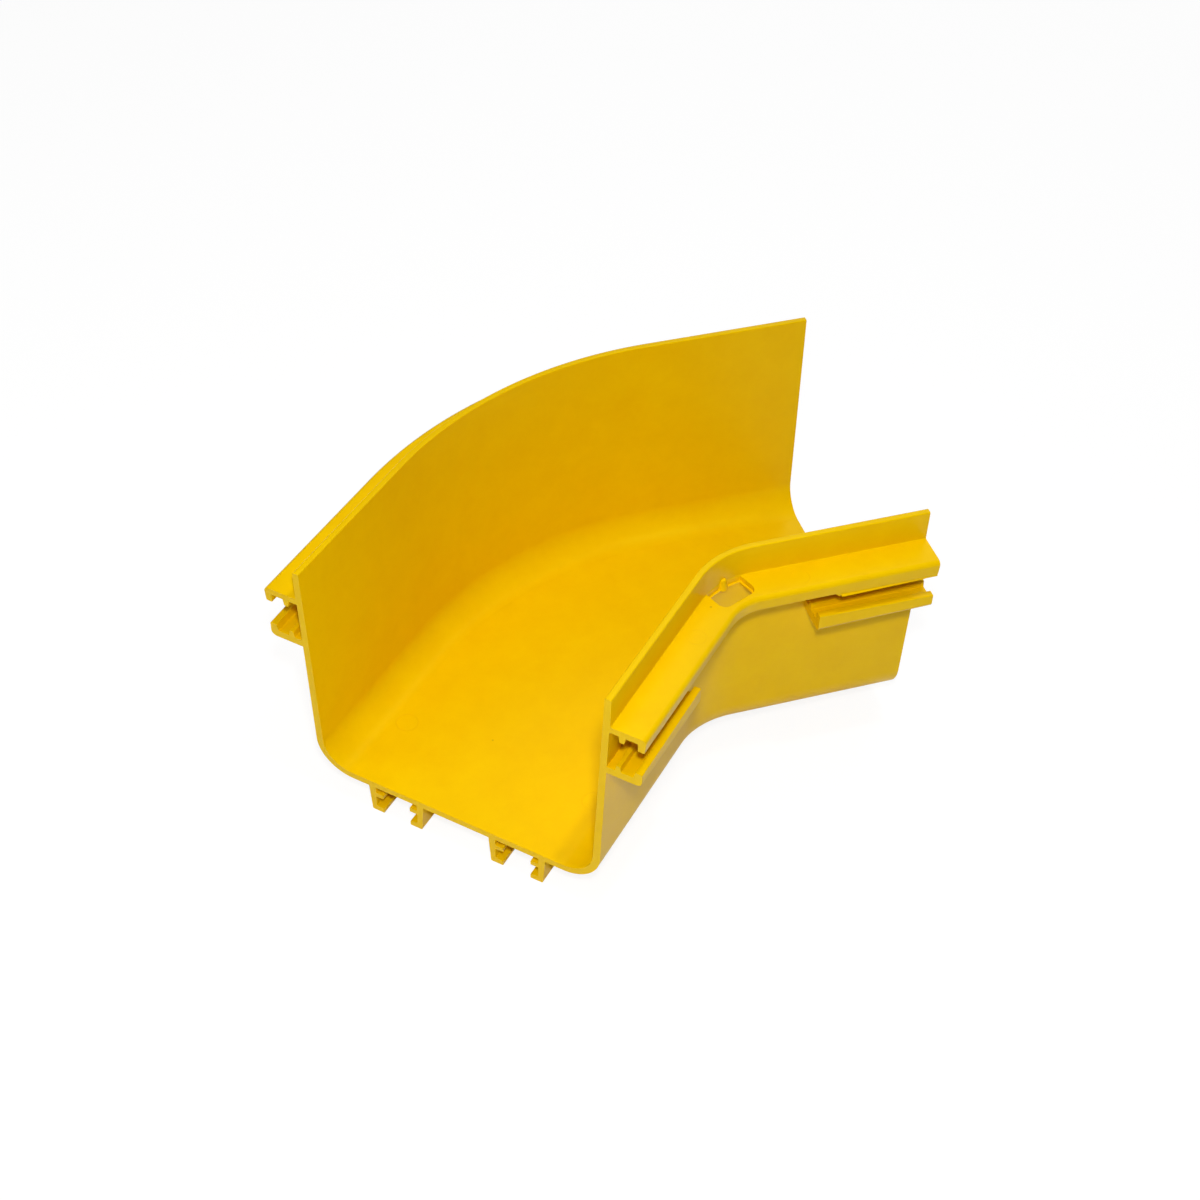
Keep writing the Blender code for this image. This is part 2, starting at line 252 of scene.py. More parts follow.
# %% Tree: sweep the channel's section along the route
route, given, result = new_tree("channel_along_route", [
    ("Section", "NodeSocketObject"),
    ("Half bend", "NodeSocketFloat"),
    ("Bend radius", "NodeSocketFloat"),
    ("Arm length", "NodeSocketFloat"),
    ("Meeting point", "NodeSocketFloat"),
    ("Bend steps", "NodeSocketInt"),
    ("Material", "NodeSocketMaterial"),
])
three_points = add(route, "GeometryNodeMeshLine", {"Count": 3, "Offset": (0.0, 0.0, 0.0)})
side = math_node(route, "SUBTRACT", add(route, "GeometryNodeInputIndex").outputs[0], 1.0)
across = math_node(route, "MULTIPLY", given.outputs["Arm length"],
                   math_node(route, "COSINE", given.outputs["Half bend"]))
back = math_node(route, "MULTIPLY", given.outputs["Arm length"],
                 math_node(route, "SINE", given.outputs["Half bend"]))
place = add(route, "ShaderNodeCombineXYZ", {
    "X": math_node(route, "MULTIPLY", side, across),
    "Y": math_node(route, "SUBTRACT", given.outputs["Meeting point"],
                   math_node(route, "MULTIPLY", math_node(route, "ABSOLUTE", side), back)),
})
bent = add(route, "GeometryNodeSetPosition",
           {"Geometry": three_points.outputs["Mesh"], "Position": place.outputs[0]})
line = add(route, "GeometryNodeMeshToCurve", {"Mesh": bent.outputs[0]})
bend = add(route, "GeometryNodeFilletCurve",
           {"Curve": line.outputs[0], "Count": given.outputs["Bend steps"],
            "Radius": given.outputs["Bend radius"]}, mode="POLY")
level = add(route, "GeometryNodeSetCurveNormal", {"Curve": bend.outputs[0]}, mode="Z_UP")
drawn = add(route, "GeometryNodeObjectInfo", {"Object": given.outputs["Section"]})
swept = add(route, "GeometryNodeCurveToMesh",
            {"Curve": level.outputs[0], "Profile Curve": drawn.outputs["Geometry"],
             "Fill Caps": True})
realised = add(route, "GeometryNodeRealizeInstances", {"Geometry": swept.outputs[0]})
finished = add(route, "GeometryNodeSetMaterial",
               {"Geometry": realised.outputs[0], "Material": given.outputs["Material"]})
route.links.new(finished.outputs[0], result.inputs[0])

plastic = bpy.data.materials.new("yellow_moulded_plastic")
plastic.use_nodes = True
elbow = run_tree(route, "elbow_moulding", {
    "Section": channel_section,
    "Half bend": HALF_BEND,
    "Bend radius": BEND_RADIUS,
    "Arm length": ARM_LENGTH + 2 * OVERRUN,
    "Meeting point": MEETING_Y,
    "Bend steps": 44,
    "Material": plastic,
})
low, high = [Vector(elbow.bound_box[i]) / MM for i in (0, 6)]
print("swept channel, mm:", [round(v, 1) for v in low], [round(v, 1) for v in high])

# %% [markdown]
# ## Rails for the coupler
#
# Both mouths carry the same set of bars: a rib under each shelf, a short rail below it, and two
# pairs of legs under the floor. Each bar is again a drawn outline. All the outlines lie in one
# curve object, so one sweep makes the whole set, and the set is placed at both mouths.

# %% Outlines of the bars
SINK = 1.0 * MM


def shelf_rib():
    """Rib under the shelf, sunk into it."""
    middle = RIM_OUTSIDE + 4.4 * MM
    top = SHELF_UNDERSIDE + SINK
    return [
        (middle - 1.3 * MM, top, 0.0),
        (middle - 1.3 * MM, SHELF_UNDERSIDE, 0.0),
        (middle - 0.85 * MM, SHELF_UNDERSIDE - 2.8 * MM, 0.35 * MM),
        (middle + 0.85 * MM, SHELF_UNDERSIDE - 2.8 * MM, 0.35 * MM),
        (middle + 1.3 * MM, SHELF_UNDERSIDE, 0.0),
        (middle + 1.3 * MM, top, 0.0),
    ]


def side_rail():
    """Rail on the wall, sunk into it: floor, upturned lip and small rib."""
    root = outer_face(RAIL_UNDERSIDE) - SINK
    rib = RIM_OUTSIDE + 3.45 * MM
    return [
        (root, RAIL_FLOOR, 0.0),
        (root, RAIL_UNDERSIDE, 0.0),
        (RAIL_EDGE, RAIL_UNDERSIDE, 2.2 * MM),
        (RAIL_EDGE, RAIL_FLOOR + 2.7 * MM, 0.4 * MM),
        (RAIL_EDGE - 2.7 * MM, RAIL_FLOOR + 2.7 * MM, 0.3 * MM),
        (RAIL_EDGE - 3.4 * MM, RAIL_FLOOR, 0.4 * MM),
        (rib + 1.15 * MM, RAIL_FLOOR, 0.3 * MM),
        (rib + 0.8 * MM, RAIL_FLOOR + 2.6 * MM, 0.3 * MM),
        (rib - 0.8 * MM, RAIL_FLOOR + 2.6 * MM, 0.3 * MM),
        (rib - 1.15 * MM, RAIL_FLOOR, 0.3 * MM),
    ]


def leg(middle, side):
    """Leg under the floor, with a tab and a foot towards the middle of its pair."""
    face = 9.05 * MM
    tip = face - 3.25 * MM
    profile = [
        (face, FLOOR_UNDERSIDE + SINK, 0.0),
        (face, 9.9 * MM, 0.3 * MM),
        (tip, 9.9 * MM, 0.3 * MM),
        (tip, 7.8 * MM, 0.3 * MM),
        (face, 7.8 * MM, 0.3 * MM),
        (face, 3.0 * MM, 0.3 * MM),
        (tip, 2.2 * MM, 0.3 * MM),
        (tip, 0.0, 0.3 * MM),
        (face + 1.95 * MM, 0.0, 0.5 * MM),
        (face + 2.95 * MM, FLOOR_UNDERSIDE, 0.0),
        (face + 2.95 * MM, FLOOR_UNDERSIDE + SINK, 0.0),
    ]
    return [(middle + side * x, y, r) for x, y, r in profile]


bars = [shelf_rib(), mirrored(shelf_rib()), side_rail(), mirrored(side_rail())]
bars += [leg(middle, side) for middle in (-26.05 * MM, 26.05 * MM) for side in (-1, 1)]
bar_sections = section_curve("bar_sections", [rounded(bar) for bar in bars])
print("bars at each mouth:", len(bars))

# %% Tree: one set of bars, placed at both mouths
RAIL_BAND = 4.0 * MM
LEVEL_TOLERANCE = 0.5 * MM
rails, given, result = new_tree("coupler_bars", [
    ("Sections", "NodeSocketObject"),
    ("Half bend", "NodeSocketFloat"),
    ("Outer end", "NodeSocketFloat"),
    ("Inner end", "NodeSocketFloat"),
    ("Meeting point", "NodeSocketFloat"),
    ("Growth", "NodeSocketFloat"),
    ("Rail floor", "NodeSocketFloat"),
    ("Lip offset", "NodeSocketFloat"),
    ("Material", "NodeSocketMaterial"),
])
outer_end = add(rails, "ShaderNodeCombineXYZ", {"X": given.outputs["Outer end"]})
inner_end = add(rails, "ShaderNodeCombineXYZ", {"X": given.outputs["Inner end"]})
path = add(rails, "GeometryNodeCurvePrimitiveLine",
           {"Start": inner_end.outputs[0], "End": outer_end.outputs[0]})
level = add(rails, "GeometryNodeSetCurveNormal", {"Curve": path.outputs[0]}, mode="Z_UP")
drawn = add(rails, "GeometryNodeObjectInfo", {"Object": given.outputs["Sections"]})
swept = add(rails, "GeometryNodeCurveToMesh",
            {"Curve": level.outputs[0], "Profile Curve": drawn.outputs["Geometry"],
             "Fill Caps": True})
where = add(rails, "ShaderNodeSeparateXYZ",
            {0: add(rails, "GeometryNodeInputPosition").outputs[0]})
at_inner_end = math_node(rails, "LESS_THAN", where.outputs["X"],
                         math_node(rails, "ADD", given.outputs["Inner end"], MM))
above_floor = math_node(rails, "SUBTRACT", where.outputs["Z"], given.outputs["Rail floor"])
is_rail = math_node(rails, "LESS_THAN", math_node(rails, "ABSOLUTE", above_floor), RAIL_BAND)
below = math_node(rails, "LESS_THAN", above_floor, -LEVEL_TOLERANCE)
in_lip = math_node(rails, "GREATER_THAN", math_node(rails, "ABSOLUTE", where.outputs["Y"]),
                   given.outputs["Lip offset"])
raised = math_node(rails, "MULTIPLY", in_lip,
                   math_node(rails, "GREATER_THAN", above_floor, LEVEL_TOLERANCE))
rise = math_node(rails, "MULTIPLY", math_node(rails, "SUBTRACT", raised, below),
                 given.outputs["Growth"])
rise = math_node(rails, "MULTIPLY", rise, math_node(rails, "MULTIPLY", is_rail, at_inner_end))
grown = add(rails, "GeometryNodeSetPosition",
            {"Geometry": swept.outputs[0],
             "Offset": add(rails, "ShaderNodeCombineXYZ", {"Z": rise}).outputs[0]})
mouths = add(rails, "GeometryNodeMeshLine", {"Count": 2, "Offset": (0.0, 0.0, 0.0)})
meeting = add(rails, "ShaderNodeCombineXYZ", {"Y": given.outputs["Meeting point"]})
moved = add(rails, "GeometryNodeSetPosition",
            {"Geometry": mouths.outputs["Mesh"], "Position": meeting.outputs[0]})
which = add(rails, "GeometryNodeInputIndex").outputs[0]
half_turn = math_node(rails, "ADD", math.pi,
                      math_node(rails, "MULTIPLY", given.outputs["Half bend"], 2.0))
angle = math_node(rails, "SUBTRACT", math_node(rails, "MULTIPLY", which, half_turn),
                  given.outputs["Half bend"])
euler = add(rails, "ShaderNodeCombineXYZ", {"Z": angle})
turned = add(rails, "FunctionNodeEulerToRotation", {0: euler.outputs[0]})
both = add(rails, "GeometryNodeInstanceOnPoints",
           {"Points": moved.outputs[0], "Instance": grown.outputs[0],
            "Rotation": turned.outputs[0]})
realised = add(rails, "GeometryNodeRealizeInstances", {"Geometry": both.outputs[0]})
finished = add(rails, "GeometryNodeSetMaterial",
               {"Geometry": realised.outputs[0], "Material": given.outputs["Material"]})
rails.links.new(finished.outputs[0], result.inputs[0])

coupler_bars = run_tree(rails, "coupler_bars", {
    "Sections": bar_sections,
    "Half bend": HALF_BEND,
    "Outer end": ARM_LENGTH + OVERRUN,
    "Inner end": ARM_LENGTH - SLOT_LENGTH,
    "Meeting point": MEETING_Y,
    "Growth": 1.0 * MM,
    "Rail floor": RAIL_FLOOR,
    "Lip offset": RAIL_EDGE - 3.3 * MM,
    "Material": plastic,
})

# %% [markdown]
# ## Single details
#
# Five details occur once: the window in the inner shelf for the cover's clip, the little half
# cone behind it that the clip catches on, a stretch of the inner lip that hangs 1 mm lower, a thin
# flash of plastic along that stretch, and a burr where the plastic flowed into the mould. Most are
# drawn as outlines and extruded.


# %% Extruded outlines
def solid(name, bm):
    """Object with the faces of a bmesh, which is freed."""
    mesh = bpy.data.meshes.new(name)
    bm.to_mesh(mesh)
    bm.free()
    made = bpy.data.objects.new(name, mesh)
    bpy.context.scene.collection.objects.link(made)
    return made


def prism(name, points, shift):
    """Solid made by drawing a flat outline out along a vector."""
    bm = bmesh.new()
    face = bm.faces.new([bm.verts.new(point) for point in points])
    drawn_out = bmesh.ops.extrude_face_region(bm, geom=[face])
    far = [item for item in drawn_out["geom"] if isinstance(item, bmesh.types.BMVert)]
    bmesh.ops.translate(bm, vec=shift, verts=far)
    bmesh.ops.recalc_face_normals(bm, faces=bm.faces)
    return solid(name, bm)


# %% Window in the inner shelf, a little narrower below, which leaves a ledge
def window_plan(half_width, back):
    """Outline of the window: round at the back, along the wall, and two corners at the front."""
    reach = math.asin(half_width / back)
    turns = [reach * (1 - 2 * k / 15) for k in range(16)]
    plan = [(back * math.sin(turn), back * math.cos(turn)) for turn in turns]
    front = BEND_RADIUS - LIP_INSIDE
    corners = rounded([
        (-half_width, back * math.cos(reach), 0.0),
        (-half_width, front, 3.0 * MM),
        (half_width, front, 3.0 * MM),
        (half_width, back * math.cos(reach), 0.0),
    ])
    return plan + corners[1:-1]


LEDGE_TOP = 96.6 * MM
WINDOW_HEIGHT = 3.0 * MM
wall_radius = BEND_RADIUS - RIM_OUTSIDE
upper_plan = window_plan(8.0 * MM, wall_radius - 0.15 * MM)
lower_plan = window_plan(7.4 * MM, wall_radius - 0.9 * MM)
upper_window = prism("upper_window",
                     [BEND_CENTRE + Vector((x, y, LEDGE_TOP)) for x, y in upper_plan],
                     Vector((0.0, 0.0, WINDOW_HEIGHT)))
lower_window = prism("lower_window",
                     [BEND_CENTRE + Vector((x, y, SHELF_UNDERSIDE - SINK)) for x, y in lower_plan],
                     Vector((0.0, 0.0, LEDGE_TOP - SHELF_UNDERSIDE + SINK + 0.5 * MM)))
print("window, mm:", [round(v / MM, 1) for v in upper_window.dimensions])

# %% Half cone that the cover's clip catches on
CATCH_HEIGHT = 4.7 * MM
CATCH_TURN = 0.05
catch_foot = SHELF_UNDERSIDE + 0.2 * MM
catch_profile = rounded([
    (0.0, catch_foot, 0.0),
    (2.1 * MM, catch_foot, 0.3 * MM),
    (1.1 * MM, catch_foot + CATCH_HEIGHT, 0.5 * MM),
    (0.0, catch_foot + CATCH_HEIGHT, 0.0),
])
catch_axis = BEND_CENTRE + Vector((0.6 * MM, wall_radius, 0.0))
bm = bmesh.new()
ring = [bm.verts.new(catch_axis + Vector((r, 0.0, z))) for r, z in catch_profile]
edges = [bm.edges.new(pair) for pair in zip(ring, ring[1:])]
bmesh.ops.spin(bm, geom=ring + edges, cent=catch_axis, axis=(0.0, 0.0, 1.0),
               angle=2 * math.pi, steps=40, use_merge=True)
bmesh.ops.remove_doubles(bm, verts=bm.verts, dist=0.001 * MM)
bmesh.ops.rotate(bm, verts=bm.verts, cent=catch_axis,
                 matrix=Matrix.Rotation(CATCH_TURN, 3, "Z"))
bmesh.ops.recalc_face_normals(bm, faces=bm.faces)
catch = solid("catch", bm)
print("catch:", len(catch.data.polygons), "faces")

# %% Deeper stretch of lip near the right mouth
STEP_BOTTOM = LIP_BOTTOM - 1.1 * MM
step_side = [
    (-OVERRUN, LIP_BOTTOM + SINK),
    (-OVERRUN, STEP_BOTTOM),
    (38.4 * MM, STEP_BOTTOM),
    (38.8 * MM, LIP_BOTTOM - 1.0 * MM),
    (39.9 * MM, LIP_BOTTOM),
    (39.9 * MM, LIP_BOTTOM + SINK),
]
lip_step = prism("lip_step",
                 [arm_point(s, -(LIP_INSIDE + 0.1 * MM), z) for s, z in step_side],
                 OUTWARDS * -(LIP_TOE - 0.2 * MM))

# %% Flash: a thin wedge that stands out along that stretch and fades towards the mouth
FLASH_ENDS = ((37.8 * MM, 0.9 * MM, 0.65 * MM), (5.0 * MM, 0.3 * MM, 0.1 * MM))
toe = -(LIP_INSIDE + LIP_TOE)
root = toe + 0.4 * MM
bm = bmesh.new()
for along, height, width in FLASH_ENDS:
    for offset, rise in ((root, height), (root, 0.0), (toe - width, 0.0)):
        bm.verts.new(arm_point(along, offset, STEP_BOTTOM + rise))
bmesh.ops.convex_hull(bm, input=bm.verts)
flash = solid("flash", bm)
print("flash:", len(flash.data.polygons), "faces")

# %% Torn gate: a burr under the other arm's lip
BURR_THICKNESS = 0.6 * MM
burr_side = [
    (59.4 * MM, LIP_BOTTOM + 0.4 * MM),
    (59.6 * MM, LIP_BOTTOM - 0.5 * MM),
    (60.3 * MM, LIP_BOTTOM - 0.7 * MM),
    (60.7 * MM, LIP_BOTTOM + 0.4 * MM),
]
burr_points = [arm_point(s, -(LIP_INSIDE + LIP_TOE - 0.9 * MM), z) for s, z in burr_side]
gate_burr = prism("gate_burr", [Vector((-p.x, p.y, p.z)) for p in burr_points],
                  Vector((OUTWARDS.x, -OUTWARDS.y, 0.0)) * BURR_THICKNESS)

# %% [markdown]
# ## One moulding
#
# The real part has no joints, so the swept channel, the bars and the details are merged into one
# surface. Booleans do that, and a plane through each mouth cuts everything off square. Only then
# are the cut edges broken with a narrow bevel, as the mould leaves them.


# %% Merge, cut and break the edges
def inside_window(point):
    """True for points on the walls of the latch window, whose edges stay as cut."""
    return (abs(point.x) < 8.2 * MM and point.y < 0.0
            and LIP_BOTTOM < point.z < SHELF_TOP - 0.3 * MM)


for operation, other in (("DIFFERENCE", upper_window), ("DIFFERENCE", lower_window),
                         ("UNION", coupler_bars), ("UNION", lip_step), ("UNION", flash),
                         ("UNION", gate_burr), ("UNION", catch)):
    step = elbow.modifiers.new(other.name, "BOOLEAN")
    step.operation = operation
    step.object = other
    step.solver = "EXACT"
merged = bpy.data.meshes.new_from_object(
    elbow.evaluated_get(bpy.context.evaluated_depsgraph_get()))
elbow.modifiers.clear()

bm = bmesh.new()
bm.from_mesh(merged)
bmesh.ops.remove_doubles(bm, verts=bm.verts, dist=WELD_DISTANCE)
for sign in (-1.0, 1.0):
    direction = Vector((ARM.x * sign, ARM.y, 0.0))
    mouth = direction * ARM_LENGTH + Vector((0.0, MEETING_Y, 0.0))
    cut = bmesh.ops.bisect_plane(bm, geom=bm.verts[:] + bm.edges[:] + bm.faces[:], plane_co=mouth,
                                 plane_no=direction, clear_outer=True, dist=0.001 * MM)
    rim = [item for item in cut["geom_cut"] if isinstance(item, bmesh.types.BMEdge)]
    bmesh.ops.contextual_create(bm, geom=rim)
bmesh.ops.recalc_face_normals(bm, faces=bm.faces)
open_edges = [edge for edge in bm.edges if len(edge.link_faces) != 2]
print("open edges after the cut:", len(open_edges))
crisp = [edge for edge in bm.edges if edge.calc_face_angle_signed(0.0) > math.radians(50.0)
         and not all(inside_window(vert.co) for vert in edge.verts)]
bmesh.ops.bevel(bm, geom=crisp, offset=CUT_EDGE_BEVEL, offset_type="OFFSET", segments=2,
                profile=0.5, affect="EDGES", clamp_overlap=False, material=-1)
bmesh.ops.remove_doubles(bm, verts=bm.verts, dist=WELD_DISTANCE)
bmesh.ops.recalc_face_normals(bm, faces=bm.faces)
bm.to_mesh(merged)
bm.free()
elbow.data = merged
merged.shade_smooth()
merged.set_sharp_from_angle(angle=math.radians(40.0))
weighted = elbow.modifiers.new("weighted_normals", "WEIGHTED_NORMAL")
weighted.keep_sharp = True
for helper in (channel_section, bar_sections, upper_window, lower_window, coupler_bars, lip_step,
               flash, gate_burr, catch):
    bpy.data.objects.remove(helper, do_unlink=True)
print("finished moulding:", len(merged.polygons), "faces")

# %% [markdown]
# ## Moulded plastic
#
# The real thing is a saturated, slightly warm yellow with a satin gloss. The mould's surface is
# never perfect: it gives the gloss broad, soft waves and a very fine grain. The pins that push
# the part out of the mould leave faint rings on the shelves and floor, and handling leaves a few
# dark specks. The waves, grain and rings go to the shader as a bump and as small changes of
# colour and roughness; the specks only change the colour. In such a strong yellow the gloss is
# tinted too, and turns white only at grazing angles.


# %% Shader group: waves, fine grain and clouds of colour of a moulded surface
def shader_group(name, inputs, outputs):
    """Shader node group with named sockets, given as (name, socket type)."""
    group = bpy.data.node_groups.new(name, "ShaderNodeTree")
    for label, kind in inputs:
        group.interface.new_socket(label, in_out="INPUT", socket_type=kind)
    for label, kind in outputs:
        group.interface.new_socket(label, in_out="OUTPUT", socket_type=kind)
    return group, group.nodes.new("NodeGroupInput"), group.nodes.new("NodeGroupOutput")


moulded, given, result = shader_group(
    "moulded_surface",
    [("Vector", "NodeSocketVector"), ("Wave size", "NodeSocketFloat"),
     ("Grain size", "NodeSocketFloat"), ("Grain share", "NodeSocketFloat")],
    [("Height", "NodeSocketFloat"), ("Mottle", "NodeSocketFloat")])
wave = add(moulded, "ShaderNodeTexNoise",
           {"Vector": given.outputs["Vector"], "Detail": 2.0, "Roughness": 0.4,
            "Scale": math_node(moulded, "DIVIDE", 1.0, given.outputs["Wave size"])})
grain = add(moulded, "ShaderNodeTexNoise",
            {"Vector": given.outputs["Vector"], "Detail": 3.0, "Roughness": 0.6,
             "Scale": math_node(moulded, "DIVIDE", 1.0, given.outputs["Grain size"])})
height = add(moulded, "ShaderNodeMix",
             {"Factor": given.outputs["Grain share"], "A": wave.outputs["Fac"],
              "B": grain.outputs["Fac"]})
moulded.links.new(height.outputs["Result"], result.inputs["Height"])
CLOUDS_PER_WAVE = 4.0
CLOUD_SHARE = 0.45
cloud = add(moulded, "ShaderNodeTexNoise",
            {"Vector": given.outputs["Vector"], "Detail": 4.0, "Roughness": 0.85,
             "Scale": math_node(moulded, "DIVIDE", CLOUDS_PER_WAVE,
                                given.outputs["Wave size"])})
mottle = add(moulded, "ShaderNodeMix",
             {"Factor": CLOUD_SHARE, "A": wave.outputs["Fac"], "B": cloud.outputs["Fac"]})
moulded.links.new(mottle.outputs["Result"], result.inputs["Mottle"])

# %% Shader group: sparse dark specks
specks, given, result = shader_group(
    "specks",
    [("Vector", "NodeSocketVector"), ("Spacing", "NodeSocketFloat"),
     ("Speck size", "NodeSocketFloat"), ("Share", "NodeSocketFloat")],
    [("Mask", "NodeSocketFloat")])
cells = add(specks, "ShaderNodeTexVoronoi",
            {"Vector": given.outputs["Vector"],
             "Scale": math_node(specks, "DIVIDE", 1.0, given.outputs["Spacing"])})
edge = math_node(specks, "DIVIDE", given.outputs["Speck size"], given.outputs["Spacing"])
dot = add(specks, "ShaderNodeMapRange",
          {"Value": cells.outputs["Distance"], "From Min": 0.0, "From Max": edge,
           "To Min": 1.0, "To Max": 0.0})
tint = add(specks, "ShaderNodeSeparateColor", {"Color": cells.outputs["Color"]})
chosen = math_node(specks, "LESS_THAN", tint.outputs[0], given.outputs["Share"])
mask = math_node(specks, "MULTIPLY", dot.outputs["Result"], chosen)
specks.links.new(mask, result.inputs["Mask"])

# %% Shader group: ring left by an ejector pin, the same on both arms
pin_mark, given, result = shader_group(
    "pin_mark",
    [("Vector", "NodeSocketVector"), ("Centre", "NodeSocketVector"),
     ("Radius", "NodeSocketFloat"), ("Line", "NodeSocketFloat")],
    [("Mask", "NodeSocketFloat")])
apart = add(pin_mark, "ShaderNodeVectorMath", {0: given.outputs["Vector"]}, operation="ABSOLUTE")
parts = add(pin_mark, "ShaderNodeSeparateXYZ", {0: given.outputs["Vector"]})
sides = add(pin_mark, "ShaderNodeSeparateXYZ", {0: apart.outputs[0]})
folded = add(pin_mark, "ShaderNodeCombineXYZ",
             {"X": sides.outputs["X"], "Y": parts.outputs["Y"], "Z": parts.outputs["Z"]})
away = add(pin_mark, "ShaderNodeVectorMath",
           {0: folded.outputs[0], 1: given.outputs["Centre"]}, operation="SUBTRACT")
flat = add(pin_mark, "ShaderNodeVectorMath",
           {0: away.outputs[0], 1: (1.0, 1.0, 4.0)}, operation="MULTIPLY")
distance = add(pin_mark, "ShaderNodeVectorMath", {0: flat.outputs[0]}, operation="LENGTH")
off_ring = math_node(pin_mark, "ABSOLUTE",
                     math_node(pin_mark, "SUBTRACT", distance.outputs["Value"],
                               given.outputs["Radius"]))
ring = add(pin_mark, "ShaderNodeMapRange",
           {"Value": off_ring, "From Min": 0.0, "From Max": given.outputs["Line"],
            "To Min": 1.0, "To Max": 0.0})
pin_mark.links.new(ring.outputs["Result"], result.inputs["Mask"])

# %% The yellow plastic
DEEP_YELLOW = (0.866, 0.498, 0.0, 1.0)
BRIGHT_YELLOW = (0.959, 0.630, 0.0, 1.0)
SPECK_BROWN = (0.42, 0.22, 0.01, 1.0)
RING_YELLOW = (0.80, 0.42, 0.002, 1.0)
GLOSS_TINT = (0.65, 1.0, 0.05, 1.0)
LEAST_ROUGHNESS = 0.28
MOST_ROUGHNESS = 0.33
RING_COLOUR_SHARE = 0.3
RING_DEPTH_SHARE = 0.5
RING_LINE = 0.55 * MM
RINGS = (
    (arm_point(52.0 * MM, -69.0 * MM, SHELF_TOP), 3.5 * MM),
    (arm_point(52.0 * MM, -69.0 * MM, SHELF_TOP), 0.8 * MM),
    (arm_point(52.0 * MM, 69.0 * MM, SHELF_TOP), 3.5 * MM),
    (arm_point(32.0 * MM, 41.0 * MM, FLOOR_TOP), 4.3 * MM),
    (arm_point(32.0 * MM, -41.0 * MM, FLOOR_TOP), 4.3 * MM),
)
BUMP_DEPTH = 0.10 * MM

nodes = plastic.node_tree
shader = nodes.nodes["Principled BSDF"]
place = add(nodes, "ShaderNodeTexCoord").outputs["Object"]
surface = add(nodes, "ShaderNodeGroup", node_tree=moulded)
nodes.links.new(place, surface.inputs["Vector"])
for label, value in (("Wave size", 14.0 * MM), ("Grain size", 0.5 * MM), ("Grain share", 0.3)):
    surface.inputs[label].default_value = value
dots = add(nodes, "ShaderNodeGroup", node_tree=specks)
nodes.links.new(place, dots.inputs["Vector"])
for label, value in (("Spacing", 13.0 * MM), ("Speck size", 0.6 * MM), ("Share", 0.22)):
    dots.inputs[label].default_value = value
mottled = add(nodes, "ShaderNodeMix",
              {0: surface.outputs["Mottle"], 6: DEEP_YELLOW, 7: BRIGHT_YELLOW},
              data_type="RGBA")
spotted = add(nodes, "ShaderNodeMix",
              {0: dots.outputs["Mask"], 6: mottled.outputs[2], 7: SPECK_BROWN},
              data_type="RGBA")
marks = 0.0
for centre, radius in RINGS:
    mark = add(nodes, "ShaderNodeGroup", node_tree=pin_mark)
    nodes.links.new(place, mark.inputs["Vector"])
    mark.inputs["Centre"].default_value = centre
    mark.inputs["Radius"].default_value = radius
    mark.inputs["Line"].default_value = RING_LINE
    marks = math_node(nodes, "MAXIMUM", marks, mark.outputs["Mask"])
worn = add(nodes, "ShaderNodeMapRange",
           {"Value": surface.outputs["Mottle"], "From Min": 0.44, "From Max": 0.56})
marks = math_node(nodes, "MULTIPLY", marks, worn.outputs["Result"])
ringed = add(nodes, "ShaderNodeMix",
             {0: math_node(nodes, "MULTIPLY", marks, RING_COLOUR_SHARE),
              6: spotted.outputs[2], 7: RING_YELLOW}, data_type="RGBA")
nodes.links.new(ringed.outputs[2], shader.inputs["Base Color"])
gloss = add(nodes, "ShaderNodeMapRange",
            {"Value": surface.outputs["Mottle"], "From Min": 0.3, "From Max": 0.7,
             "To Min": LEAST_ROUGHNESS, "To Max": MOST_ROUGHNESS})
nodes.links.new(gloss.outputs["Result"], shader.inputs["Roughness"])
pressed = math_node(nodes, "SUBTRACT", surface.outputs["Height"],
                    math_node(nodes, "MULTIPLY", marks, RING_DEPTH_SHARE))
bump = add(nodes, "ShaderNodeBump",
           {"Height": pressed, "Strength": 1.0, "Distance": BUMP_DEPTH})
nodes.links.new(bump.outputs["Normal"], shader.inputs["Normal"])
shader.inputs["IOR"].default_value = 1.5
shader.inputs["Specular IOR Level"].default_value = 0.3
shader.inputs["Specular Tint"].default_value = GLOSS_TINT
print("plastic nodes:", len(nodes.nodes))

# %% [markdown]
# ## Hand the moulding to the frame
#
# The dressed moulding stands in for the plain solid of the measured model and rides on its body.

# %% Replace the plain solid
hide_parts("raceway_elbow")
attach(elbow, "root")

# %% [markdown]
# ## Studio
#
# The photograph is a catalogue shot: a white ground, and soft light from all round. Two lamps are
# smaller, because two shadows have clear edges. The one under the shelf says that the key stands
# close to the camera, 52 degrees up and 0.8 m away. The one inside the near mouth says that the
# other hangs almost overhead. The powers were found by fitting the brightness of floor, walls and
# shelves. The ground is lifted to white only for the camera, so that it throws no more light on
# the plastic than white paper does.

